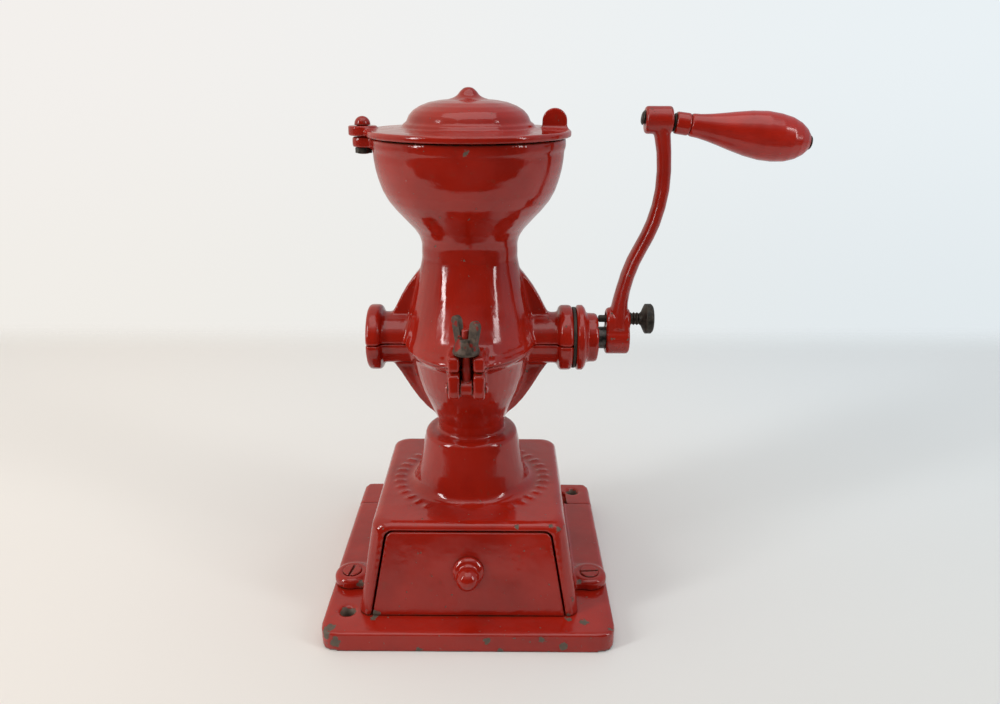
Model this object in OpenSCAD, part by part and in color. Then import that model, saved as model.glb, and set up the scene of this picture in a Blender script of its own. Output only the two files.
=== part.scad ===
// Table coffee mill in painted cast iron: a drawer stand on a foot plate, a split grinding
// chamber with a hopper above it, a hand crank on the right and a swinging lid.
// X is right, Y is back, Z is up. The origin is the middle of the foot plate's underside.

/* [Foot plate] */
// Width and depth of the square foot plate
plate_w = 180; // [176:1:190]
// Thickness of the plate in front
plate_t = 13; // [12:0.5:14]
// Radius of the plate's corners
plate_r = 10; // [6:1:14]
// Bevel round the plate's top edge
plate_bevel = 3; // [1:0.5:4]
// Distance from the middle to a fixing hole along X
fix_x = 76; // [74:1:78]
// Place of the front fixing hole along Y
fix_front_y = -68; // [-72:1:-66]
// Place of the rear fixing hole along Y
fix_rear_y = 76; // [72:1:78]
// Radius of a fixing hole
fix_r = 3.2; // [2.5:0.1:3.5]

/* [Stand] */
// Height of the drawer box's top
box_top = 72; // [70:1:74]
// Half width of the box at its foot
box_foot_x = 69; // [68:0.5:70]
// Half width of the box at its top
box_top_x = 59.5; // [58:0.5:61]
// Half depth of the box at its foot
box_foot_y = 74; // [73:0.5:75]
// Half depth of the box at its top
box_top_y = 62; // [61:0.5:63]
// Wall thickness of the box
box_wall = 5; // [4:0.5:6]
// Thickness of the two side flanges
flange_t = 5; // [4:0.5:6]
// Place of a flange screw along X
tab_x = 78.5; // [78:0.5:79]
// Place of a flange screw along Y
tab_y = -35.5; // [-40:0.5:-30]
// Radius of the raised tab round a flange screw
tab_r = 11.5; // [10:0.5:11.5]
// Height of the tab's top above the table
tab_top = 20.5; // [19:0.5:22]
// Number of relief bars in each arc on the box's top
relief_bars = 13; // [5:1:17]

/* [Grinding chamber] */
// Height of the crank shaft's axis, where the castings part
shaft_z = 172; // [171:0.5:173]
// Radius of the burr chamber
burr_bay_r = 37.5; // [36:0.5:38]
// Outer radius of a bearing boss
boss_r = 16.5; // [15:0.5:17]
// Outer radius of a bearing flange
boss_flange_r = 21; // [20:0.5:22]
// Distance from the middle to the face of a bearing flange
boss_face_x = 64.8; // [63:0.2:66]
// Thickness of the webs beside the chamber
web_t = 8; // [6:0.5:10]

/* [Hopper and lid] */
// Outer radius of the hopper's rim
rim_r = 57.5; // [57:0.5:58]
// Height of the hopper's rim
rim_z = 296.7; // [296:0.1:297]
// Wall thickness of the hopper
hopper_wall = 4; // [3:0.5:5]
// Radius of the lid
lid_r = 60.5; // [59:0.5:62]
// Distance from the middle to the lid's pivot on the left
pivot_x = 62.5; // [62:0.5:63]
// Radius of the lid's pivot bolt
pivot_r = 3; // [2.5:0.1:3.2]

/* [Latch] */
// Place of the swing bolt along Y
latch_y = -60.5; // [-61:0.5:-60]
// Height of the swing bolt's pin
latch_pin_z = 161; // [160:0.5:162]
// Radius of the swing bolt
latch_r = 2.5; // [2:0.1:2.7]
// Half of the slot between the fork's prongs
fork_gap = 3.8; // [3.7:0.1:4]
// Half of the fork's outer width
fork_half = 10.6; // [9:0.2:12]
// Height of the upper prongs' tops
prong_top = 181.4; // [180:0.2:181.6]
// Height of the wing nut's underside
nut_z = 182; // [182:0.1:184]
// Turn of the wings about the bolt, in degrees
wing_turn = -46; // [-180:1:180]

/* [Shaft and burrs] */
// Radius of the shaft
shaft_r = 7; // [6:0.5:7.5]
// Left end of the shaft
shaft_left = -60; // [-63:1:-50]
// Radius of the burrs
burr_r = 33; // [28:0.5:34]
// Radius of the feed worm
worm_r = 16; // [13:0.5:16.4]
// Number of turns of the feed worm
worm_turns = 1.75; // [1:0.25:3]
// Number of ribs on a burr's face
burr_ribs = 16; // [8:2:20]

/* [Adjusting nut] */
// Radius of the adjusting nut's flange
adjust_r = 21; // [19:0.5:22]
// Radius of the adjusting nut's hub
adjust_hub_r = 15.7; // [15:0.1:17]
// Outer face of the adjusting nut
adjust_face_x = 81; // [80:0.5:82]

/* [Crank] */
// Left face of the crank's lower boss
crank_x = 86; // [85:0.5:87]
// Width of the crank's lower boss
crank_boss_w = 15; // [13:0.5:16]
// Distance from the shaft to the handle's boss
crank_throw = 134.4; // [130:0.2:140]
// Distance from the shaft's axis to the lock screw's axis
lock_rise = 12.7; // [12.5:0.1:13.5]
// Radius of the lock screw over its thread
lock_r = 4.2; // [3.5:0.1:4.4]
// Pitch of the lock screw's thread
lock_pitch = 2.1; // [1.5:0.1:2.5]
// Radius of the lock screw's head
lock_head_r = 9.5; // [8:0.5:10]

/* [Handle] */
// Middle of the handle's boss along X
top_boss_x = 111.4; // [110:0.2:113]
// Downward tilt of the handle, in degrees
handle_tilt = 8; // [0:1:10]
// Largest radius of the wooden grip
grip_r = 14.2; // [12:0.2:15]
// Length of ferrule and grip together
grip_len = 81.5; // [75:0.5:90]
// Radius of the handle's spindle
spindle_r = 3.4; // [3:0.1:3.6]

/* [Drawer] */
// Gap round the drawer's front
drawer_gap = 0.8; // [0.5:0.1:1.2]
// Half width of the drawer's front at its foot
drawer_foot_x = 60; // [58:0.5:61]
// Half width of the drawer's front at its top
drawer_top_x = 51; // [50:0.5:52]
// Height of the drawer's front edge at its top
drawer_top_z = 66; // [64:0.5:66]
// Half width of the drawer's tray
tray_x = 47; // [44:0.5:48]
// Rear end of the drawer's tray
tray_rear_y = 54; // [40:1:58]
// Radius of the drawer knob's foot ring
knob_ring_r = 9.8; // [9:0.2:11]
// Radius of the drawer knob's ball
knob_ball_r = 7.2; // [6:0.2:8]

/* [Hidden] */
$fn = 64;
// Radial room of each running fit
fit = 0.05;
// Room between flat faces that slide or turn on each other
slip = 0.3;
plate_half = plate_w / 2;
flange_top = plate_t + flange_t;
// Rear end of the side flanges and front end of the raised rear ledge
ledge_y = 57;
lean_x = (box_foot_x - box_top_x) / (box_top - plate_t);
lean_y = (box_foot_y - box_top_y) / (box_top - plate_t);
neck_bore_r = 16;
throat_r = 25;
fork_front = latch_y - 6;
lock_z = shaft_z + lock_rise;
washer_x = boss_face_x;
adjust_x = washer_x + 2;
top_boss_z = shaft_z + crank_throw;
top_boss_half = 8;
drawer_lean = atan(lean_y);
rivet_x = 36;
rivet_r = 1.6;
knob_z = 42;
lid_z = rim_z + slip;
ring_steps = 48;

// Outlines of the castings as height, half width and half depth
lower_shell = [
    [107, 21.5, 22], [112, 21.6, 22.4], [118.5, 22.6, 25], [125, 25, 29.6], [133, 28.7, 35.6],
    [141.4, 32.3, 41.2], [151, 35.2, 46.4], [160, 37.1, 50.2], [166, 38.2, 53],
    [169, 39.2, 57], [170, 40, 58.6], [shaft_z, 40, 58.6]
];
upper_shell = [
    [shaft_z, 42.3, 61.4], [174.4, 42.3, 61.4], [175.6, 41.9, 59.4], [178, 41, 54],
    [183, 39.6, 49.5], [190, 37.7, 45.2], [197, 35.9, 41.6], [204, 34.2, 38.2],
    [210, 32.9, 35.6], [217, 31.2, 32.6], [223, 29.9, 30.3], [229, 29, 29]
];
// Outer side of the hopper as radius and height, from the throat to the rim
hopper_side = [
    [29.7, 227], [29.4, 234], [30.7, 238.5], [33.6, 243], [38.5, 248.4], [44.4, 254.8],
    [48.8, 260.4], [51.9, 266.2], [53.9, 272.2], [55.4, 278], [56.3, 284], [56.7, 290]
];

// Points of an arc, from one angle to another
function arc(x, y, r, from, to, steps = 6) =
    [for (i = [0:steps]) let (a = from + (to - from) * i / steps) [x + r * cos(a), y + r * sin(a)]];

// Level ellipse of half width a and half depth b
function oval(z, a, b) =
    [for (i = [0:ring_steps - 1]) [a * cos(360 * i / ring_steps), b * sin(360 * i / ring_steps), z]];

// Level rectangle with rounded corners
function soft_rect(z, hx, hy, r) = [
    for (p = concat(arc(hx - r, hy - r, r, 0, 90), arc(r - hx, hy - r, r, 90, 180),
                    arc(r - hx, r - hy, r, 180, 270), arc(hx - r, r - hy, r, 270, 360)))
    [p[0], p[1], z]
];

// Solid through a stack of rings that all have the same number of points
module loft(rings) {
    n = len(rings[0]);
    m = len(rings);
    polyhedron(
        points = [for (ring = rings) for (p = ring) p],
        faces = concat(
            [[for (i = [0:n - 1]) i]],
            [for (k = [0:m - 2]) for (i = [0:n - 1])
                [k * n + i, (k + 1) * n + i, (k + 1) * n + (i + 1) % n]],
            [for (k = [0:m - 2]) for (i = [0:n - 1])
                [k * n + i, (k + 1) * n + (i + 1) % n, k * n + (i + 1) % n]],
            [[for (i = [n - 1:-1:0]) (m - 1) * n + i]]
        )
    );
}

// Round bar along X between two places
module bar_x(x0, x1, r, y = 0, z = shaft_z) {
    translate([x0, y, z]) rotate([0, 90, 0]) cylinder(h = x1 - x0, r = r);
}

// Turned piece about an axis along X, from points of distance along X and radius
module turned_x(points, z = shaft_z) {
    translate([0, 0, z]) rotate([0, 90, 0]) rotate_extrude() polygon([for (p = points) [p[1], p[0]]]);
}

// Profile in the XZ plane, of thickness t about Y = 0
module plate_xz(points, t) {
    rotate([90, 0, 0]) translate([0, 0, -t / 2]) linear_extrude(t) polygon(points);
}

// Profile in the YZ plane, between two places along X
module plate_yz(points, x0, x1) {
    translate([x0, 0, 0]) rotate([90, 0, 90]) linear_extrude(x1 - x0) polygon(points);
}

// Both sides of the mill
module both_sides() {
    children();
    mirror([1, 0, 0]) children();
}

module box(x0, x1, y0, y1, z0, z1) {
    translate([x0, y0, z0]) cube([x1 - x0, y1 - y0, z1 - z0]);
}

// Foot plate

module plate_outline() {
    h = plate_half - plate_r;
    square([2 * h, plate_w], center = true);
    square([plate_w, 2 * h], center = true);
    for (sx = [-1, 1]) for (sy = [-1, 1]) translate([sx * h, sy * h]) circle(plate_r);
}

// Cross-section of the plate with bevelled top edges, top at height t
function bevelled(t) = [
    [-plate_half, 0], [plate_half, 0], [plate_half, t - plate_bevel],
    [plate_half - plate_bevel * 0.35, t - plate_bevel * 0.35], [plate_half - plate_bevel, t],
    [plate_bevel - plate_half, t], [plate_bevel * 0.35 - plate_half, t - plate_bevel * 0.35],
    [-plate_half, t - plate_bevel]
];

module bevelled_slab(t) {
    intersection() {
        linear_extrude(t) plate_outline();
        plate_xz(bevelled(t), plate_w);
        plate_yz(bevelled(t), -plate_half, plate_half);
    }
}

module fixing_hole(x, y, top) {
    translate([x, y, -1]) cylinder(h = 40, r = fix_r);
    translate([x, y, top - 3.5]) cylinder(h = 3.6, r1 = fix_r, r2 = 5.4);
}

module base_plate() {
    color("#8f2016") difference() {
        union() {
            bevelled_slab(plate_t);
            // Raised ledge along the rear, forward to the flanges at both corners
            difference() {
                bevelled_slab(flange_top);
                box(-100, 100, -100, ledge_y, plate_t, 40);
                box(-box_foot_x - 1, box_foot_x + 1, -100, box_foot_y + 1, plate_t, 40);
            }
        }
        fixing_hole(-fix_x, fix_front_y, plate_t);
        fixing_hole(fix_x, fix_rear_y, flange_top);
        // Pockets for the flanges' tongues
        both_sides() box(73, 86, ledge_y - 1, ledge_y + 6, plate_t - 0.01, plate_t + 2.4);
        both_sides() translate([tab_x, tab_y, 2.5]) cylinder(h = 20, r = 3 + fit);
    }
}

// Stand with the drawer box, the neck and the lower half of the chamber

module box_shell() {
    r = 9;
    side = function (z, inset) soft_rect(z, box_foot_x - lean_x * (z - plate_t) - inset,
                                         box_foot_y - lean_y * (z - plate_t) - inset, r);
    loft([side(plate_t, 0), side(box_top - 4, 0), side(box_top - 2.2, 0.6), side(box_top - 0.8, 1.8),
          side(box_top, 4)]);
}

module box_cavity() {
    w = box_wall;
    side = function (z) soft_rect(z, box_foot_x - lean_x * (z - plate_t) - w,
                                  box_foot_y - lean_y * (z - plate_t) - w, 5);
    loft([side(plate_t - 0.5), side(box_top - w)]);
}

// Outline of the drawer's front seen from the front, grown by g
function drawer_outline(g) = concat(
    [[-drawer_foot_x - g, plate_t - 1], [drawer_foot_x + g, plate_t - 1]],
    arc(drawer_top_x + g - 4.4, drawer_top_z + g - 4.4, 4.4, 8, 90),
    arc(4.4 - drawer_top_x - g, drawer_top_z + g - 4.4, 4.4, 90, 172)
);

module flanges() {
    both_sides() {
        difference() {
            intersection() {
                box(box_foot_x - 4, plate_half, tab_y, ledge_y - 0.15, plate_t, flange_top);
                plate_xz(bevelled(flange_top), plate_w);
            }
            translate([tab_x, tab_y, 0]) cylinder(h = 60, r = tab_r - 1);
        }
        intersection() {
            union() {
                translate([tab_x, tab_y, plate_t]) cylinder(h = tab_top - plate_t - 2, r = tab_r);
                translate([tab_x, tab_y, tab_top - 2]) cylinder(h = 2, r1 = tab_r, r2 = tab_r - 2);
                box(box_foot_x - 4, tab_x, tab_y - tab_r + 1, tab_y + tab_r, plate_t, tab_top - 2);
            }
            box(0, plate_half, -100, 100, 0, 60);
        }
        box(73.4, 85.6, ledge_y - 3, ledge_y + 5, plate_t, plate_t + 2.2);
    }
}

module flange_screw_cut(room) {
    translate([tab_x, tab_y, 3]) cylinder(h = 14, r = 3 + room);
    translate([tab_x, tab_y, tab_top - 3.6]) cylinder(h = 3.6, r1 = 3 + room, r2 = 6.2 + room);
    translate([tab_x, tab_y, tab_top - 0.01]) cylinder(h = 3, r = 6.2 + room);
}

module relief_arcs() {
    span = 112;
    translate([0, 0, box_top - 0.5]) linear_extrude(1.5)
    for (side = [0, 180]) for (i = [0:relief_bars - 1])
        rotate(side - span / 2 + span * i / (relief_bars - 1)) translate([46, -0.9]) square([5.5, 1.8]);
}

module neck() {
    rotate_extrude() polygon(concat(
        [[0, box_top - 1], [44, box_top - 1]],
        arc(43, box_top + 6, 6, 270, 200),
        [[34.3, 86], [31.3, 102], [30.6, 105]],
        arc(26.4, 105.4, 4.2, 0, 80),
        [[21, 109.8], [0, 109.8]]
    ));
}

// Half space below or above the parting plane
module below() { box(-200, 200, -200, 200, -1, shaft_z); }
module above() { box(-200, 200, -200, 200, shaft_z, 400); }

// Bearing boss and flange on both sides
module bearings() {
    both_sides() {
        bar_x(30, boss_face_x - 3, boss_r);
        turned_x([[boss_face_x - 9.2, 0], [boss_face_x - 9.2, boss_flange_r - 1.8],
                  [boss_face_x - 7.6, boss_flange_r], [boss_face_x - 1.4, boss_flange_r],
                  [boss_face_x, boss_flange_r - 1.4], [boss_face_x, 0]]);
    }
}

module lower_webs() {
    both_sides() plate_xz([[20, 117], [24.5, 121], [29, 125], [34, 130.8], [39.3, 138.8], [45, 148.6],
                           [49.4, 155.2], [50, 160], [20, 160]], web_t);
}

module upper_webs() {
    both_sides() plate_xz([[24, 225], [29, 219.6], [34, 213.8], [39.6, 206.4], [43.8, 199.4],
                           [47, 193], [50, 187.6], [50, 176], [24, 176]], web_t);
}

module shaft_bore() { bar_x(-70, 70, shaft_r + fit); }

// Burr chamber on the left of the parting wall, with the fixed burr's seat
module burr_bay() {
    bar_x(-24, -8, burr_bay_r);
    bar_x(-8.1, -2.4, burr_r + 2 + fit);
}

module worm_bay() { bar_x(-3, 27, 17); }

module lower_ears() {
    plate_yz(concat([[-40, 150], [-50, 151.5]], arc(latch_y + 0.5, 160, 6.5, 240, 180, 4),
                    arc(latch_y - 1.5, 166.9, 4.5, 180, 90), [[-40, 171.4]]), -fork_half, fork_half);
}

module hinge_ears() {
    both_sides() {
        bar_x(4, 10.4, 6, y = 66.5);
        plate_yz([[44, 158], [62, 168], [66.5, 166], [66.5, shaft_z], [44, shaft_z]], 4, 10.4);
    }
}

module stand_housing() {
    color("#9c2418") difference() {
        union() {
            difference() {
                box_shell();
                box_cavity();
                intersection() {
                    plate_xz(drawer_outline(drawer_gap), 400);
                    box(-100, 100, -100, -40, 0, 100);
                }
            }
            flanges();
            relief_arcs();
            neck();
            loft([for (s = lower_shell) oval(s[0], s[1], s[2])]);
            intersection() {
                union() {
                    bearings();
                    lower_webs();
                }
                below();
            }
            lower_ears();
            hinge_ears();
        }
        burr_bay();
        worm_bay();
        shaft_bore();
        box(-fork_gap, fork_gap, -80, -54.8, 148, 190);
        bar_x(-30, 30, 2.25 + fit, y = latch_y, z = latch_pin_z);
        bar_x(-30, 30, 2.5 + fit, y = 66.5);
        // Way down from the burrs to the drawer
        hull() {
            box(-23.6, -8.4, -19, 19, 146, 152);
            translate([0, 0, 108]) cylinder(h = 1, r = neck_bore_r - 0.6, $fn = 32);
        }
        translate([0, 0, box_top - box_wall - 1]) cylinder(h = 50, r = neck_bore_r);
        both_sides() flange_screw_cut(fit);
    }
}

// Countersunk screw through a flange, with its slot at an angle from the X axis
module flange_screw(x, slot) {
    difference() {
        union() {
            translate([x, tab_y, 3]) cylinder(h = 14, r = 3);
            translate([x, tab_y, tab_top - 3.6]) cylinder(h = 3.6, r1 = 3, r2 = 6.2);
            translate([x, tab_y, tab_top - 0.01]) cylinder(h = 0.5, r1 = 6.2, r2 = 5.6);
        }
        translate([x, tab_y, tab_top]) rotate(slot) box(-8, 8, -0.7, 0.7, -1.2, 3);
    }
}

module flange_screws() {
    color("#8b2a1f") {
        flange_screw(-tab_x, 80);
        flange_screw(tab_x, 5);
    }
}

// Hopper with the upper half of the chamber

module hopper_body() {
    rotate_extrude() polygon(concat(
        [[0, hopper_side[0][1]]], hopper_side,
        [[rim_r, 290.8], [rim_r, rim_z - 0.6], [rim_r - 0.6, rim_z], [0, rim_z]]
    ));
}

module hopper_cavity() {
    w = hopper_wall;
    top = len(hopper_side) - 1;
    rotate_extrude() polygon(concat(
        [[0, 226], [throat_r, 226], [throat_r, 234]],
        [for (i = [2:top]) [hopper_side[i][0] - w, hopper_side[i][1] + (i < 8 ? w * 0.6 : 0)]],
        [[hopper_side[top][0] - w, rim_z + 1], [0, rim_z + 1]]
    ));
}

module upper_prongs() {
    both_sides() plate_yz(concat([[-44, shaft_z], [fork_front, shaft_z]],
                                 arc(fork_front + 3, prong_top - 3, 3, 180, 90), [[-44, prong_top]]),
                          fork_gap, fork_half);
}

module upper_housing() {
    color("#a5261a") difference() {
        union() {
            difference() {
                union() {
                    loft([for (s = upper_shell) oval(s[0], s[1], s[2])]);
                    hopper_body();
                    intersection() {
                        union() {
                            bearings();
                            upper_webs();
                        }
                        above();
                    }
                    // Lug that carries the lid's pivot
                    translate([-pivot_x, 0, 290.4]) cylinder(h = rim_z - 290.4, r = 6.5);
                    box(-pivot_x, -50, -6.5, 6.5, 290.4, rim_z);
                }
                hopper_cavity();
                // Room for the lower hinge ears
                both_sides() box(3.8, 10.7, 60, 80, shaft_z - 1, 180);
                box(-fork_gap, fork_gap, -80, -54.8, shaft_z - 1, 190);
            }
            upper_prongs();
            difference() {
                union() {
                    bar_x(-3.6, 3.6, 6, y = 66.5);
                    plate_yz([[44, shaft_z], [66.5, shaft_z], [66.5, 178], [62, 177], [44, 186]], -3.6, 3.6);
                }
                box(-5, 5, 40, 59, 160, shaft_z);
            }
        }
        burr_bay();
        worm_bay();
        shaft_bore();
        // Feed passage from the hopper's throat down to the worm
        box(3, 26.6, -16.4, 16.4, shaft_z - 1, 205);
        hull() {
            translate([0, 0, 228]) cylinder(h = 1, r = throat_r - 0.6, $fn = 32);
            box(3.4, 26.2, -16, 16, 203, 204);
        }
        bar_x(-30, 30, 2.5 + fit, y = 66.5);
        translate([-pivot_x, 0, 280]) cylinder(h = 30, r = pivot_r + fit);
    }
}

module rear_hinge_pin() {
    color("#4a463c") {
        bar_x(-11.5, 11.5, 2.5, y = 66.5);
        both_sides() translate([0, 66.5, 0]) turned_x([[10.6, 0], [10.6, 4], [12, 3.2], [12.6, 0]]);
    }
}

// Latch

module latch_pin() {
    color("#8b2a1f") {
        bar_x(-11.5, 11.5, 2.25, y = latch_y, z = latch_pin_z);
        both_sides() translate([0, latch_y, 0])
            turned_x([[fork_half + 0.1, 0], [fork_half + 0.1, 3.4], [12, 2.8], [12.6, 0]], z = latch_pin_z);
    }
}

module latch_bolt() {
    color("#8b1f15") difference() {
        union() {
            bar_x(-3.3, 3.3, 5, y = latch_y, z = latch_pin_z);
            translate([0, latch_y, latch_pin_z]) cylinder(h = 35, r = latch_r);
            translate([0, latch_y, latch_pin_z + 35]) cylinder(h = 0.8, r1 = latch_r, r2 = latch_r - 0.8);
        }
        bar_x(-10, 10, 2.25 + fit, y = latch_y, z = latch_pin_z);
    }
}

module wing_nut() {
    color("#5a5044") translate([0, latch_y, nut_z]) rotate(wing_turn) difference() {
        union() {
            cylinder(h = 1.6, r1 = 7.4, r2 = 8);
            translate([0, 0, 1.6]) cylinder(h = 8, r1 = 8, r2 = 5.2);
            for (turn = [0, 180]) rotate(turn) plate_xz(concat(
                [[0, 2], [7, 2], [8.6, 7]], arc(7.8, 17.6, 3.4, -25, 175, 10), [[3.4, 10], [0, 8]]), 3.2);
        }
        translate([0, 0, -1]) cylinder(h = 40, r = latch_r + fit);
    }
}

// Lid

module lid() {
    z = lid_z;
    color("#9a2217") difference() {
        union() {
            rotate_extrude() polygon(concat(
                [[0, z + 1], [50, z + 1], [50, z], [lid_r - 0.8, z]],
                arc(lid_r - 0.8, z + 0.8, 0.8, 270, 360, 3),
                arc(lid_r - 1.2, z + 2.8, 1.2, 0, 90, 3),
                [[44, z + 4.7], [40, z + 5.2], [39, z + 5.6], [38.6, z + 7.2], [37.4, z + 7.8], [36.6, z + 8],
                 [36.2, z + 9.4], [35, z + 12], [32.4, z + 14.8], [28.4, z + 17.2], [23, z + 19.2],
                 [17, z + 20.3], [12, z + 20.8], [8.6, z + 21.8], [6.4, z + 23.2], [4.8, z + 25.4],
                 [2.6, z + 27.2], [0, z + 27.7]]
            ));
            translate([-pivot_x, 0, z]) cylinder(h = 5.9, r = 8.5);
            // Thumb tab that the lid is pushed by
            plate_xz(concat([[43.2, z + 3.5]], [[58, z + 3.5]], arc(50.6, z + 8.8, 7.4, 0, 180, 16)), 3.6);
            box(41.5, 58.6, -3, 3, z + 3, z + 5);
        }
        rotate_extrude() polygon([[0, z - 1], [33, z - 1], [33, z + 4.4], [32, z + 8.6], [29.6, z + 11.6],
                                  [25, z + 14.4], [18, z + 16.4], [0, z + 17]]);
        translate([-pivot_x, 0, z - 1]) cylinder(h = 20, r = pivot_r + fit);
    }
}

module lid_pivot_bolt() {
    color("#7c3328") translate([-pivot_x, 0, 0]) {
        translate([0, 0, 286.6]) cylinder(h = 17, r = pivot_r);
        translate([0, 0, lid_z + 6.1]) rotate_extrude()
            polygon(concat([[0, 0], [4.7, 0]], arc(0, 0.4, 4.7, 8, 90, 8)));
    }
}

module lid_pivot_nut() {
    color("#3f3a31") difference() {
        translate([-pivot_x, 0, 287]) cylinder(h = 3.2, r = 5, $fn = 6);
        translate([-pivot_x, 0, 280]) cylinder(h = 20, r = pivot_r + fit);
    }
}

// Shaft with its worm and burrs

module main_shaft() {
    color("#4c4a45") turned_x([[shaft_left, 0], [shaft_left, shaft_r - 0.8], [shaft_left + 0.8, shaft_r],
                               [crank_x + crank_boss_w - 1, shaft_r],
                               [crank_x + crank_boss_w - 0.2, shaft_r - 0.8],
                               [crank_x + crank_boss_w - 0.2, 0]]);
}

module feed_worm() {
    x0 = -8;
    length = 33;
    color("#57534c") difference() {
        translate([x0, 0, shaft_z]) rotate([0, 90, 0]) union() {
            cylinder(h = length, r = 9.4);
            intersection() {
                linear_extrude(height = length, twist = 360 * worm_turns, slices = 28, segments = 8)
                    translate([0, -2.2]) square([worm_r + 1, 4.4]);
                cylinder(h = length, r = worm_r);
            }
        }
        bar_x(-20, 40, shaft_r + fit);
    }
}

module burr_face(x, toward) {
    for (i = [0:burr_ribs - 1]) translate([x, 0, shaft_z]) rotate([360 * i / burr_ribs, 0, 0])
        translate([-1, -1.3, 17.5]) rotate([toward * 14, 0, 0]) cube([2, 2.6, 24]);
}

module rotating_burr() {
    color("#5d5952") difference() {
        union() {
            bar_x(-15.5, -8.7, burr_r);
            bar_x(-22.5, -15, 13);
        }
        burr_face(-8.3, 1);
        bar_x(-30, 0, shaft_r + fit);
        box(-30, 0, -2 - fit, 2 + fit, shaft_z + 3, shaft_z + 9 + fit);
    }
}

module burr_key() {
    color("#6a665e") intersection() {
        box(-22.4, -9.5, -2, 2, shaft_z + 3, shaft_z + 9);
        difference() {
            bar_x(-22.4, -9.5, 12);
            bar_x(-30, 0, shaft_r + fit / 2);
        }
    }
}

module fixed_burr() {
    color("#5d5952") difference() {
        bar_x(-7.9, -2.5, burr_r + 2);
        burr_face(-8.1, -1);
        bar_x(-20, 10, 17);
    }
}

// Adjusting nut on the right

module thrust_washer() {
    color("#33302a") difference() {
        bar_x(washer_x, washer_x + 1.8, 19.6);
        bar_x(washer_x - 1, washer_x + 5, shaft_r + 0.3);
    }
}

module adjusting_nut() {
    x = adjust_x;
    f = adjust_face_x;
    color("#93241a") difference() {
        turned_x([
            [x, 0], [x, adjust_r - 1.6], [x + 1.4, adjust_r], [x + 4.4, adjust_r], [x + 6, adjust_r - 1.8],
            [x + 6.6, adjust_hub_r + 1.4], [x + 7.6, adjust_hub_r + 0.2], [f - 2, adjust_hub_r],
            [f - 0.6, adjust_hub_r - 0.6], [f, adjust_hub_r - 2], [f, 0]
        ]);
        bar_x(x - 5, f + 10, shaft_r + fit);
        // Shallow seats for the lock screw's tip
        for (turn = [0:45:315]) translate([f - 1.6, 0, shaft_z]) rotate([turn, 0, 0])
            translate([0, 0, lock_rise]) rotate([0, 90, 0]) cylinder(h = 5, r1 = 1, r2 = 2.4);
    }
}

// Crank

// Middle of the arm as height, place along X, half thickness and half width
arm_line = [
    [180, 93.9, 6.6, 10], [188, 94.1, 5.8, 9.4], [196, 94.7, 4.9, 8.6], [204, 96.1, 4.5, 8.1],
    [213, 98.3, 4.4, 7.8], [222, 101.4, 4.3, 7.5], [230, 105.2, 4.3, 7.2], [238, 109.1, 4.3, 7],
    [246, 112.2, 4.3, 6.8], [256, 114.8, 4.3, 6.6], [266, 116.3, 4.3, 6.4], [277, 116.6, 4.3, 6.3],
    [288, 115.8, 4.4, 6.3], [297, 114.4, 4.8, 6.6], [306, 112.4, 5.6, 6.9]
];

// Tilt of the arm's middle line at point k, in degrees from upright
function arm_tilt(k) =
    let (a = arm_line[max(k - 1, 0)], b = arm_line[min(k + 1, len(arm_line) - 1)])
    atan((b[1] - a[1]) / (b[0] - a[0]));

function arm_ring(k) =
    let (p = arm_line[k], t = arm_tilt(k))
    [for (i = [0:23]) let (u = p[2] * cos(15 * i), v = p[3] * sin(15 * i))
        [p[1] + u * cos(t), v, p[0] - u * sin(t)]];

module along_handle() {
    translate([top_boss_x, 0, top_boss_z]) rotate([0, handle_tilt, 0]) children();
}

// Turned piece about the handle's axis, from points of distance and radius
module turned_handle(points) {
    along_handle() rotate([0, 90, 0]) rotate_extrude() polygon([for (p = points) [p[1], p[0]]]);
}

module crank_arm() {
    x1 = crank_x + crank_boss_w;
    color("#9c2418") difference() {
        union() {
            turned_x([[crank_x, 0], [crank_x, 9.4], [crank_x + 1, 10.4], [x1 - 1, 10.4], [x1, 9.4], [x1, 0]]);
            turned_x([[crank_x, 0], [crank_x, 7.4], [crank_x + 1.4, 8.6], [x1 - 1.6, 8.6], [x1, 7.2],
                      [x1, 0]], z = lock_z - 1.5);
            box(crank_x + 1, x1 - 1, -8.6, 8.6, shaft_z + 2, lock_z - 2);
            loft([for (k = [0:len(arm_line) - 1]) arm_ring(k)]);
            turned_x([[top_boss_x - 8, 0], [top_boss_x - 8, 7], [top_boss_x - 7, 8], [top_boss_x + 7, 8],
                      [top_boss_x + 8, 7], [top_boss_x + 8, 0]], z = top_boss_z);
        }
        bar_x(crank_x - 5, x1 + 5, shaft_r + fit);
        bar_x(crank_x - 5, x1 + 10, lock_r + fit, z = lock_z);
        along_handle() translate([-20, 0, 0]) rotate([0, 90, 0]) cylinder(h = 40, r = spindle_r + fit);
    }
}

module lock_screw() {
    tip = adjust_face_x + 0.3;
    thread_start = crank_x + 2;
    ridges = 9;
    head = thread_start + ridges * lock_pitch;
    color("#3c382f") turned_x(concat(
        [[tip, 0], [tip, 1.8], [tip + 0.6, 2.3], [thread_start, 2.3]],
        [for (i = [0:ridges - 1]) for (p = [[0, lock_r - 0.9], [0.5, lock_r]])
            [thread_start + (i + p[0]) * lock_pitch, p[1]]],
        [[head, lock_r - 0.9], [head + 1.6, lock_r + 0.4], [head + 3.2, lock_head_r - 1.4],
         [head + 4, lock_head_r], [head + 7.6, lock_head_r], [head + 8.8, lock_head_r - 1.2],
         [head + 8.8, 0]]), z = lock_z);
}

// Handle

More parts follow.
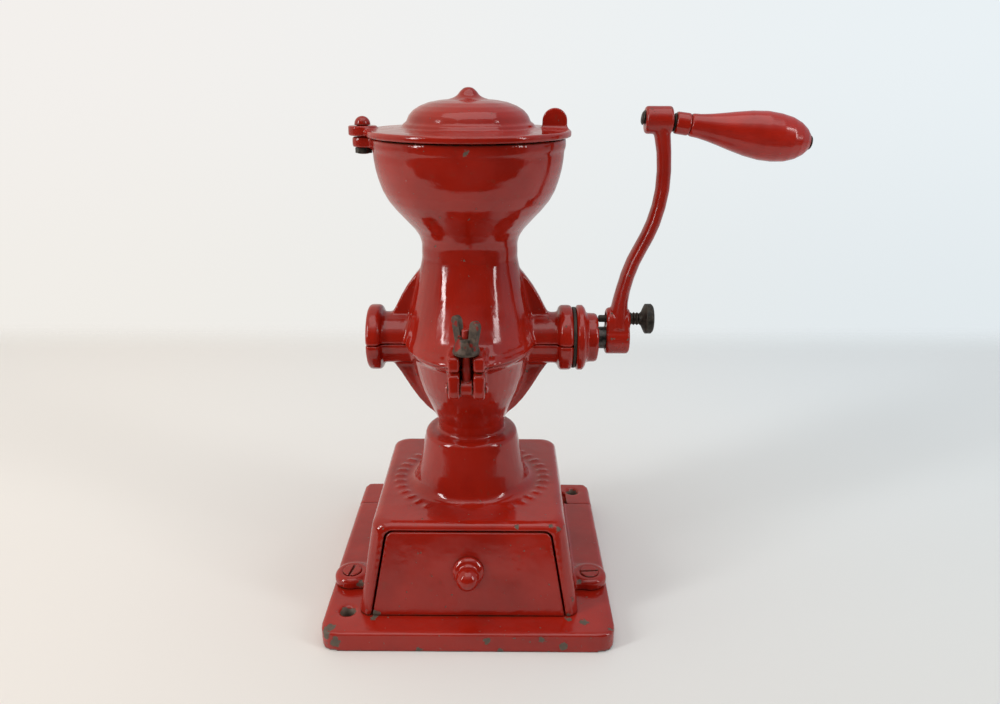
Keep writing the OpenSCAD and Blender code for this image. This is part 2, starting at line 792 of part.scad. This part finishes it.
module handle_spindle() {
    color("#4a463c") turned_handle([
        [-10.3, 0], [-10, 3], [-8.9, 4.6], [-8.8, spindle_r], [9, spindle_r], [9, 5.4], [9.6, 5.4],
        [9.7, spindle_r], [9 + grip_len, spindle_r], [9.1 + grip_len, 4.4], [10 + grip_len, 3.6],
        [10.6 + grip_len, 0]]);
}

module handle_ferrule() {
    s = 9.9;
    color("#8e2015") turned_handle([[s, spindle_r + fit], [s, 5.8], [s + 0.8, 6.4], [s + 7.6, 6.5],
                                    [s + 8.6, 6.1], [s + 8.6, spindle_r + fit]]);
}

module handle_grip() {
    s = 18.7;
    end = 8.8 + grip_len;
    color("#a8281c") turned_handle(concat(
        [[s, spindle_r + fit], [s, 5.9], [s + 1, 6.6], [s + 5.5, 6.9], [s + 11.5, 7.9], [s + 18, 9.3]],
        [[s + 26, 11.2], [s + 35, 13.1], [s + 44, grip_r]],
        [[s + 52, grip_r - 0.2], [s + 59, 12.9], [s + 64.5, 10.8], [s + 68.6, 8], [end - 0.4, 5], [end, 4.2],
         [end, spindle_r + fit]]));
}

// Drawer

// Slab that lies parallel to the box's sloping front, from depth d0 to d1 behind it
module front_slab(d0, d1) {
    y = function (z) -box_foot_y + lean_y * (z - plate_t);
    plate_yz([[y(0) + d0, 0], [y(80) + d0, 80], [y(80) + d1, 80], [y(0) + d1, 0]], -90, 90);
}

module drawer_front() {
    color("#8c2018") difference() {
        intersection() {
            plate_xz(drawer_outline(0), 400);
            front_slab(0.5, 5.5);
            box(-90, 90, -90, -40, plate_t + slip, 80);
        }
        on_drawer_front() cylinder(h = 40, r = 2 + fit, center = true);
        // Blind holes for the rivets that hold the tray
        for (x = [-rivet_x, rivet_x]) translate([x, 0, 0]) on_drawer_front()
            translate([0, 0, -10]) cylinder(h = 10 - 2.4, r = rivet_r + fit);
    }
}

// Frame with Z pointing out of the drawer's front at the knob
module on_drawer_front() {
    translate([0, -box_foot_y + lean_y * (knob_z - plate_t) + 0.5, knob_z])
        rotate([90 - drawer_lean, 0, 0]) children();
}

module drawer_tray() {
    t = 1.2;
    z0 = plate_t + slip;
    top = 58;
    y = function (z) -box_foot_y + lean_y * (z - plate_t) + 5.55;
    color("#6f6a60") difference() {
        plate_yz([[y(z0), z0], [y(top), top], [tray_rear_y, top], [tray_rear_y, z0]], -tray_x, tray_x);
        plate_yz([[y(z0 + t) + t, z0 + t], [y(top + 9) + t, top + 9], [tray_rear_y - t, top + 9],
                  [tray_rear_y - t, z0 + t]], t - tray_x, tray_x - t);
        on_drawer_front() translate([0, 0, -10]) cylinder(h = 10, r = 2 + fit);
        for (x = [-rivet_x, rivet_x]) translate([x, 0, 0]) on_drawer_front()
            translate([0, 0, -10]) cylinder(h = 10, r = rivet_r + fit);
    }
}

module drawer_rivets() {
    color("#6f6a60") for (x = [-rivet_x, rivet_x]) translate([x, 0, 0]) on_drawer_front() {
        translate([0, 0, -6.5]) cylinder(h = 4, r = rivet_r);
        translate([0, 0, -7.1]) cylinder(h = 0.8, r1 = 2.4, r2 = 3);
    }
}

module drawer_knob() {
    color("#96231a") on_drawer_front() rotate_extrude() polygon(concat(
        [[2 + fit, 0.05], [knob_ring_r - 0.6, 0.05], [knob_ring_r, 0.8], [knob_ring_r - 0.3, 2.4],
         [knob_ring_r - 1.8, 3.6], [6.2, 4.2], [5, 5.6]],
        arc(0, 11.4, knob_ball_r, -48, 88, 12), [[0, 11.4 + knob_ball_r], [0, 10], [2 + fit, 10]]));
}

module drawer_knob_screw() {
    color("#4a463c") on_drawer_front() {
        translate([0, 0, -7]) cylinder(h = 16.8, r = 2);
        difference() {
            translate([0, 0, -8.5]) cylinder(h = 2.2, r1 = 3, r2 = 4);
            box(-5, 5, -0.5, 0.5, -9, -7.7);
        }
    }
}

base_plate();
stand_housing();
flange_screws();
upper_housing();
rear_hinge_pin();
latch_pin();
latch_bolt();
wing_nut();
lid();
lid_pivot_bolt();
lid_pivot_nut();
main_shaft();
feed_worm();
rotating_burr();
burr_key();
fixed_burr();
thrust_washer();
adjusting_nut();
crank_arm();
lock_screw();
handle_spindle();
handle_ferrule();
handle_grip();
drawer_front();
drawer_tray();
drawer_rivets();
drawer_knob();
drawer_knob_screw();
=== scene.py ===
import math

import bpy
from mathutils import Matrix, Vector, noise


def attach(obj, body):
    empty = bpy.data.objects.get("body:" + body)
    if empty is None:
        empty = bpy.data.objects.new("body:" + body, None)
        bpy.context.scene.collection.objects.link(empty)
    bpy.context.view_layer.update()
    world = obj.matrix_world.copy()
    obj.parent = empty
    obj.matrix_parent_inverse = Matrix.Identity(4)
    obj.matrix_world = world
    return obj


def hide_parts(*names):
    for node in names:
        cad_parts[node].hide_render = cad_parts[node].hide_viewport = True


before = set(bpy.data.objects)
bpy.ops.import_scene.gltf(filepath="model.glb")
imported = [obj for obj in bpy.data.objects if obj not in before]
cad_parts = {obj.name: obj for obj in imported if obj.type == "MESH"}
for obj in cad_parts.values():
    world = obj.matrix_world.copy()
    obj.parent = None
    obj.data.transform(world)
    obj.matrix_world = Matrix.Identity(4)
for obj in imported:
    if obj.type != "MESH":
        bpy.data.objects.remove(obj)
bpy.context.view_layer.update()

scene = bpy.context.scene
MM = 0.001

# Camera, as fitted to the photograph
CAMERA_AT = Vector((20.8, -488.0, 333.3)) * MM
CAMERA_PITCH = 0.338
CAMERA_YAW = -0.004
CAMERA_ROLL = 0.003
CAMERA_LENS = 28.8

# Where the pale floor gives way to the lighter background behind it
FLOOR_END_Y = 0.50
FLOOR_HALF = 4.0
# In front of this the paint doesn't mirror the floor, but the dark side of the room
FLOOR_MIRROR_Y = -0.32

# Colours in linear light
RED_BRIGHT = (0.335, 0.0125, 0.0050, 1)
RED_DEEP = (0.245, 0.0080, 0.0032, 1)
PRIMER = (0.19, 0.030, 0.016, 1)
# Painted shade and dirt, mixed into the paint in corners and creases
SHADE_AND_GRIME = (0.060, 0.026, 0.014, 1)
IRON_DARK = (0.050, 0.042, 0.034, 1)
IRON_BROWN = (0.150, 0.105, 0.070, 1)


class Nodes:
    """Short way to build a node tree."""

    def __init__(self, tree):
        self.tree = tree
        tree.nodes.clear()

    def add(self, kind, inputs=None, **settings):
        node = self.tree.nodes.new(kind)
        for name, value in settings.items():
            setattr(node, name, value)
        for name, value in (inputs or {}).items():
            self.put(node.inputs[name], value)
        return node

    def put(self, socket, value):
        if isinstance(value, bpy.types.NodeSocket):
            self.tree.links.new(value, socket)
        else:
            socket.default_value = value

    def noise(self, place, scale, detail=3.0, roughness=0.55):
        node = self.add("ShaderNodeTexNoise", {
            "Vector": place, "Scale": scale, "Detail": detail, "Roughness": roughness})
        return node.outputs["Fac"]

    def ramp(self, value, low, high, to_low=0.0, to_high=1.0):
        node = self.add("ShaderNodeMapRange", {
            "Value": value, "From Min": low, "From Max": high, "To Min": to_low, "To Max": to_high})
        node.interpolation_type = "SMOOTHSTEP"
        return node.outputs["Result"]

    def math(self, operation, a, b=0.0):
        node = self.add("ShaderNodeMath", operation=operation)
        self.put(node.inputs[0], a)
        self.put(node.inputs[1], b)
        return node.outputs[0]

    def mix(self, factor, a, b):
        node = self.add("ShaderNodeMix", data_type="RGBA")
        self.put(node.inputs["Factor"], factor)
        self.put(node.inputs["A"], a)
        self.put(node.inputs["B"], b)
        return node.outputs["Result"]

    def bump(self, height, strength, distance, normal=None):
        node = self.add("ShaderNodeBump", {"Height": height, "Strength": strength, "Distance": distance})
        if normal is not None:
            self.put(node.inputs["Normal"], normal)
        return node.outputs["Normal"]


def new_material(name):
    material = bpy.data.materials.new(name)
    material.use_nodes = True
    nodes = Nodes(material.node_tree)
    place = nodes.add("ShaderNodeTexCoord").outputs["Object"]
    shader = nodes.add("ShaderNodeBsdfPrincipled")
    out = nodes.add("ShaderNodeOutputMaterial")
    nodes.put(out.inputs["Surface"], shader.outputs["BSDF"])
    return material, nodes, place, shader


def edge_mask(nodes, radius):
    """High on sharp outer and inner edges, from how far a bevelled normal turns away."""
    bevel = nodes.add("ShaderNodeBevel", {"Radius": radius}, samples=4)
    geometry = nodes.add("ShaderNodeNewGeometry")
    dot = nodes.add("ShaderNodeVectorMath", operation="DOT_PRODUCT")
    nodes.put(dot.inputs[0], bevel.outputs["Normal"])
    nodes.put(dot.inputs[1], geometry.outputs["Normal"])
    return nodes.ramp(dot.outputs["Value"], 0.99, 0.86)


# Places where the enamel is chipped off, as (x, y, z, radius) in mm
CHIPS = (
    (61.5, -70, 61, 2.6), (63.5, -69, 50, 2.2), (67, -68, 38, 1.9), (52, -62, 71, 2.4),
    (60, -57, 70, 2.0), (66, -71, 24, 2.4), (-86, -88, 11, 3.2), (-80, -89, 6, 2.8),
    (45, -89, 9, 2.4), (86, -84, 11, 2.6), (79, -37, 20, 2.2), (72, -44, 18, 2.4),
    (-76, -68, 10, 5.4), (76, 76, 14, 5.4), (-59, -66, 66, 2.2), (-70, 6, 301, 2.6),
    (57, 20, 301, 1.8), (1, -57.5, 292, 1.7), (30, -63, 71, 2.0), (55, -62, 69, 2.2),
    (-84, -84, 13, 3.0), (-80, -90, 10, 1.8), (72, -78, 13, 3.0), (58, -90, 5, 2.6),
    (-71, -46, 17, 2.6), (-58, -74, 14, 3.0), (62, -75, 14, 2.6), (-30, -90, 2, 2.0),
    (20, -90, 1, 2.2), (12, -90, 8, 2.2), (-38, 2, 168, 2.0),
)


def enamel(name, wear=1.0, gloss=0.07, chips=(), streak=(1, 1, 1)):
    """Thick glossy red paint over cast iron, with sags, pits and chips."""
    material, nodes, place, shader = new_material(name)
    tone = nodes.noise(place, 26.0, 4.0)
    fine = nodes.noise(place, 240.0, 3.0)
    colour = nodes.mix(nodes.ramp(tone, 0.40, 0.70, 0.0, 0.8), RED_BRIGHT, RED_DEEP)
    colour = nodes.mix(nodes.ramp(fine, 0.60, 0.74, 0.0, 0.35), colour, PRIMER)
    # Painted shade with brown dirt where surfaces meet: the paint is darkened by occlusion in corners and
    # creases, broken up so that it doesn't follow every corner
    corner_shade = nodes.add("ShaderNodeAmbientOcclusion", {"Distance": 4.5 * MM}, samples=6)
    shade_and_dirt = nodes.ramp(corner_shade.outputs["AO"], 0.62, 0.28)
    patchy = nodes.ramp(nodes.noise(place, 75.0, 4.0), 0.40, 0.62, 0.25, 1.0)
    colour = nodes.mix(nodes.math("MULTIPLY", shade_and_dirt, patchy), colour, SHADE_AND_GRIME)
    edges = edge_mask(nodes, 1.3 * MM)
    break_up = nodes.noise(place, 210.0, 5.0, 0.7)
    worn = nodes.math("MULTIPLY", edges, nodes.ramp(break_up, 0.60 - 0.07 * wear, 0.66 - 0.07 * wear))
    specks = nodes.ramp(nodes.noise(place, 330.0, 2.0), 0.74 - 0.02 * wear, 0.77 - 0.02 * wear)
    bare = nodes.math("MAXIMUM", worn, specks)
    for x, y, z, radius in chips:
        away = nodes.add("ShaderNodeVectorMath", operation="DISTANCE")
        nodes.put(away.inputs[0], place)
        away.inputs[1].default_value = (x * MM, y * MM, z * MM)
        ragged = nodes.math("ADD", away.outputs["Value"], nodes.ramp(break_up, 0.3, 0.7, -1.4 * MM, 1.4 * MM))
        bare = nodes.math("MAXIMUM", bare, nodes.ramp(ragged, radius * MM, (radius - 0.5) * MM))
    iron = nodes.mix(nodes.noise(place, 400.0), IRON_DARK, IRON_BROWN)
    nodes.put(shader.inputs["Base Color"], nodes.mix(bare, colour, iron))
    rough = nodes.ramp(nodes.noise(place, 60.0), 0.3, 0.7, gloss, gloss + 0.13)
    nodes.put(shader.inputs["Roughness"], nodes.ramp(bare, 0.0, 1.0, rough, 0.62))
    shader.inputs["Specular IOR Level"].default_value = 0.5
    stretched = nodes.add("ShaderNodeVectorMath", operation="MULTIPLY")
    nodes.put(stretched.inputs[0], place)
    stretched.inputs[1].default_value = streak
    sags = nodes.bump(nodes.noise(stretched.outputs[0], 55.0, 2.0), 0.55, 0.9 * MM)
    peel = nodes.bump(nodes.noise(place, 420.0, 3.0), 0.20, 0.25 * MM, sags)
    depth = nodes.bump(nodes.math("SUBTRACT", 1.0, bare), 0.7, 0.25 * MM, peel)
    nodes.put(shader.inputs["Normal"], depth)
    return material


def iron(name, dark, light, metallic, rough, paint=0.0, grain=330.0):
    """Bare or oiled iron, with rust in its pits and, if asked, paint left in its corners."""
    material, nodes, place, shader = new_material(name)
    mottle = nodes.noise(place, grain, 5.0, 0.65)
    colour = nodes.mix(nodes.ramp(mottle, 0.35, 0.7), dark, light)
    if paint:
        left = nodes.ramp(nodes.noise(place, 150.0, 4.0), 0.66 - 0.2 * paint, 0.72 - 0.2 * paint)
        colour = nodes.mix(left, colour, RED_DEEP)
    edges = edge_mask(nodes, 0.7 * MM)
    colour = nodes.mix(nodes.math("MULTIPLY", edges, 0.45), colour, (0.22, 0.19, 0.15, 1))
    nodes.put(shader.inputs["Base Color"], colour)
    nodes.put(shader.inputs["Roughness"], nodes.ramp(mottle, 0.3, 0.7, rough, rough + 0.2))
    shader.inputs["Metallic"].default_value = metallic
    nodes.put(shader.inputs["Normal"], nodes.bump(mottle, 0.5, 0.3 * MM))
    return material


def painted_wood():
    """Turned wood under red paint: the grain's lines print through along the handle."""
    material, nodes, place, shader = new_material("painted_wood")
    along = nodes.add("ShaderNodeVectorMath", operation="MULTIPLY")
    nodes.put(along.inputs[0], place)
    along.inputs[1].default_value = (0.09, 1, 1)
    grain = nodes.noise(along.outputs[0], 600.0, 3.0)
    tone = nodes.noise(place, 40.0, 3.0)
    colour = nodes.mix(nodes.ramp(tone, 0.35, 0.7), (0.40, 0.016, 0.008, 1), (0.29, 0.011, 0.005, 1))
    colour = nodes.mix(nodes.ramp(grain, 0.62, 0.74, 0.0, 0.5), colour, (0.16, 0.008, 0.004, 1))
    specks = nodes.ramp(nodes.noise(place, 380.0, 2.0), 0.75, 0.77)
    nodes.put(shader.inputs["Base Color"], nodes.mix(specks, colour, IRON_BROWN))
    nodes.put(shader.inputs["Roughness"], nodes.ramp(grain, 0.3, 0.7, 0.14, 0.24))
    sags = nodes.bump(nodes.noise(place, 60.0, 2.0), 0.3, 0.6 * MM)
    nodes.put(shader.inputs["Normal"], nodes.bump(grain, 0.12, 0.15 * MM, sags))
    return material


ENAMEL = enamel("red_enamel", 1.0, 0.055, CHIPS, (1, 1, 0.45))
ENAMEL_BOX = enamel("red_enamel_box", 1.8, 0.10, CHIPS)
ENAMEL_WORN = enamel("red_enamel_worn", 2.2, 0.16)
DARK_IRON = iron("dark_iron", (0.020, 0.018, 0.015, 1), (0.065, 0.055, 0.042, 1), 0.55, 0.42)
WORN_IRON = iron("worn_iron", (0.045, 0.033, 0.025, 1), (0.14, 0.10, 0.075, 1), 0.5, 0.42, 0.5)
STEEL = iron("shaft_steel", (0.05, 0.048, 0.045, 1), (0.15, 0.14, 0.13, 1), 0.9, 0.32, 0.0, 700.0)
TIN = iron("tinplate", (0.20, 0.19, 0.17, 1), (0.40, 0.38, 0.34, 1), 0.95, 0.3, 0.0, 90.0)
WOOD = painted_wood()

# How each node is dressed: material, voxel in mm, rounds of smoothing and body.
# A voxel of 0 leaves the node's own mesh.
DRESS = {
    "base_plate": (ENAMEL_BOX, 1.2, 4, "stand"),
    "stand_housing": (ENAMEL, 0.9, 9, "stand"),
    "upper_housing": (ENAMEL, 0.9, 10, "stand"),
    "lid": (ENAMEL, 0.7, 6, "lid"),
    "crank_arm": (ENAMEL_WORN, 0.5, 8, "shaft"),
    "adjusting_nut": (ENAMEL, 0.5, 4, "adjuster"),
    "drawer_front": (ENAMEL_BOX, 0.8, 3, "drawer"),
    "drawer_knob": (ENAMEL, 0.35, 5, "drawer"),
    "wing_nut": (WORN_IRON, 0.3, 6, "wing"),
    "latch_bolt": (ENAMEL_WORN, 0.3, 3, "latch"),
    "lid_pivot_bolt": (ENAMEL_WORN, 0.25, 4, "stand"),
    "handle_grip": (WOOD, 0.5, 6, "grip"),
    "handle_ferrule": (ENAMEL, 0.3, 3, "grip"),
    "flange_screws": (ENAMEL_WORN, 0.25, 3, "stand"),
    "lock_screw": (DARK_IRON, 0.25, 3, "lock"),
    "lid_pivot_nut": (DARK_IRON, 0.25, 2, "stand"),
    "latch_pin": (ENAMEL_WORN, 0.25, 2, "stand"),
    "rear_hinge_pin": (DARK_IRON, 0.25, 2, "stand"),
    "thrust_washer": (DARK_IRON, 0.25, 2, "stand"),
    "handle_spindle": (DARK_IRON, 0.3, 3, "shaft"),
    "main_shaft": (STEEL, 0, 0, "shaft"),
    "feed_worm": (WORN_IRON, 0, 0, "shaft"),
    "rotating_burr": (WORN_IRON, 0, 0, "shaft"),
    "burr_key": (STEEL, 0, 0, "shaft"),
    "fixed_burr": (WORN_IRON, 0, 0, "stand"),
    "drawer_tray": (TIN, 0, 0, "drawer"),
    "drawer_rivets": (TIN, 0, 0, "drawer"),
    "drawer_knob_screw": (DARK_IRON, 0, 0, "drawer"),
}

# Unevenness of the castings as they left the sand, in mm
CAST_WAVE = 0.16
CAST_SCALE = 55.0


def apply_modifiers(piece):
    graph = bpy.context.evaluated_depsgraph_get()
    mesh = bpy.data.meshes.new_from_object(piece.evaluated_get(graph))
    piece.modifiers.clear()
    piece.data = mesh


def cast_piece(node, voxel, rounds):
    """Smooth mesh with rounded edges, grown from the node's own shape."""
    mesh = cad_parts[node].data.copy()
    piece = bpy.data.objects.new(node + "_casting", mesh)
    scene.collection.objects.link(piece)
    remesh = piece.modifiers.new("remesh", "REMESH")
    remesh.mode = "VOXEL"
    remesh.voxel_size = voxel * MM
    remesh.use_smooth_shade = True
    smooth = piece.modifiers.new("smooth", "SMOOTH")
    smooth.factor = 0.5
    smooth.iterations = rounds
    apply_modifiers(piece)
    return piece


def wave(piece, amount):
    """Moves each point inwards a little, by a slow noise, so reflections wander as on real iron."""
    mesh = piece.data
    normals = [vertex.normal.copy() for vertex in mesh.vertices]
    for vertex, normal in zip(mesh.vertices, normals):
        level = noise.noise(vertex.co * CAST_SCALE) * 0.5 + 0.5
        vertex.co -= normal * (level * amount * MM)


def dress():
    for node, (material, voxel, rounds, body) in DRESS.items():
        if not voxel:
            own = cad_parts[node].data
            own.materials.clear()
            own.materials.append(material)
            continue
        piece = cast_piece(node, voxel, rounds)
        if material in (ENAMEL, ENAMEL_BOX, ENAMEL_WORN) and voxel >= 0.5:
            wave(piece, CAST_WAVE)
        piece.data.materials.clear()
        piece.data.materials.append(material)
        for face in piece.data.polygons:
            face.material_index = 0
            face.use_smooth = True
        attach(piece, body)
        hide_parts(node)


def make_floor():
    half = FLOOR_HALF
    mesh = bpy.data.meshes.new("floor")
    mesh.from_pydata([(-half, -half, 0), (half, -half, 0), (half, half, 0), (-half, half, 0)],
                     [], [(0, 1, 2, 3)])
    floor = bpy.data.objects.new("floor", mesh)
    scene.collection.objects.link(floor)
    material, nodes, place, shader = new_material("pale_floor")
    split = nodes.add("ShaderNodeSeparateXYZ", {"Vector": place})
    # Painted light: the floor is lighter towards the back, and lighter and warmer on the left, cooler on the
    # right
    across = nodes.ramp(split.outputs["X"], -0.5, 0.5)
    near = nodes.mix(across, (0.80, 0.75, 0.69, 1), (0.68, 0.70, 0.69, 1))
    far = nodes.mix(across, (0.88, 0.85, 0.80, 1), (0.76, 0.82, 0.85, 1))
    nodes.put(shader.inputs["Base Color"], nodes.mix(nodes.ramp(split.outputs["Y"], -0.3, 0.45), near, far))
    shader.inputs["Roughness"].default_value = 0.6
    shader.inputs["Specular IOR Level"].default_value = 0.2
    # Past its end the floor lets the camera see the pale room behind it
    behind = nodes.ramp(split.outputs["Y"], FLOOR_END_Y - 0.05, FLOOR_END_Y + 0.08)
    path = nodes.add("ShaderNodeLightPath")
    clear = nodes.add("ShaderNodeBsdfTransparent")
    blend = nodes.add("ShaderNodeMixShader")
    unseen = nodes.math("MULTIPLY", behind, path.outputs["Is Camera Ray"])
    ahead = nodes.ramp(split.outputs["Y"], FLOOR_MIRROR_Y, FLOOR_MIRROR_Y - 0.04)
    unmirrored = nodes.math("MULTIPLY", ahead, path.outputs["Is Glossy Ray"])
    nodes.put(blend.inputs[0], nodes.math("MAXIMUM", unseen, unmirrored))
    nodes.put(blend.inputs[1], shader.outputs["BSDF"])
    nodes.put(blend.inputs[2], clear.outputs["BSDF"])
    nodes.put(nodes.tree.nodes["Material Output"].inputs["Surface"], blend.outputs["Shader"])
    mesh.materials.append(material)


def make_world():
    """Soft room: bright at both sides, behind and above, and dark on the camera's side."""
    world = bpy.data.worlds.new("studio")
    scene.world = world
    world.use_nodes = True
    nodes = Nodes(world.node_tree)
    place = nodes.add("ShaderNodeTexCoord").outputs["Generated"]
    split = nodes.add("ShaderNodeSeparateXYZ", {"Vector": place})
    across = nodes.ramp(split.outputs["X"], -0.6, 0.6)
    sides = nodes.mix(across, (0.80, 0.72, 0.64, 1), (0.46, 0.50, 0.55, 1))
    front = nodes.ramp(split.outputs["Y"], -0.10, -0.42)
    above = nodes.ramp(split.outputs["Z"], 0.45, 0.80)
    dark = nodes.math("SUBTRACT", front, above)
    room = nodes.mix(nodes.math("MAXIMUM", dark, 0.0), sides, (0.045, 0.038, 0.033, 1))
    # Painted light on the backdrop the camera sees: lighter upwards, and warmer on the left, cooler on the
    # right
    low = nodes.mix(across, (0.88, 0.85, 0.80, 1), (0.76, 0.82, 0.85, 1))
    high = nodes.mix(across, (0.90, 0.87, 0.84, 1), (0.82, 0.88, 0.91, 1))
    backdrop = nodes.mix(nodes.ramp(split.outputs["Z"], -0.30, 0.05), low, high)
    path = nodes.add("ShaderNodeLightPath")
    seen = nodes.mix(path.outputs["Is Camera Ray"], room, backdrop)
    background = nodes.add("ShaderNodeBackground", {"Color": seen, "Strength": 1.0})
    out = nodes.add("ShaderNodeOutputWorld")
    nodes.put(out.inputs["Surface"], background.outputs[0])


def area_light(name, at, target, width, height, power):
    data = bpy.data.lights.new(name, "AREA")
    data.shape = "RECTANGLE"
    data.size = width
    data.size_y = height
    data.energy = power
    light = bpy.data.objects.new(name, data)
    light.location = at
    light.rotation_euler = (Vector(target) - Vector(at)).to_track_quat("-Z", "Y").to_euler()
    scene.collection.objects.link(light)


def make_lights():
    area_light("window_left", (-1.30, -0.74, 0.85), (0, 0, 0.2), 0.20, 0.95, 11.0)
    area_light("window_right", (1.36, -0.70, 0.85), (0, 0, 0.2), 0.20, 0.95, 6.5)
    area_light("ceiling", (0.1, -0.3, 1.6), (0, 0, 0.1), 1.6, 1.2, 8.0)


def make_camera():
    data = bpy.data.cameras.new("camera")
    data.lens = CAMERA_LENS
    data.sensor_width = 36
    camera = bpy.data.objects.new("camera", data)
    forward = Vector((math.sin(CAMERA_YAW) * math.cos(CAMERA_PITCH),
                      math.cos(CAMERA_YAW) * math.cos(CAMERA_PITCH), -math.sin(CAMERA_PITCH)))
    side = forward.cross(Vector((0, 0, 1))).normalized()
    up = side.cross(forward)
    right = side * math.cos(CAMERA_ROLL) + up * math.sin(CAMERA_ROLL)
    up = right.cross(forward)
    turn = Matrix((right, up, -forward)).transposed().to_4x4()
    camera.matrix_world = Matrix.Translation(CAMERA_AT) @ turn
    scene.collection.objects.link(camera)
    scene.camera = camera


make_camera()
make_world()
make_lights()
make_floor()
dress()
scene.view_settings.view_transform = "Standard"
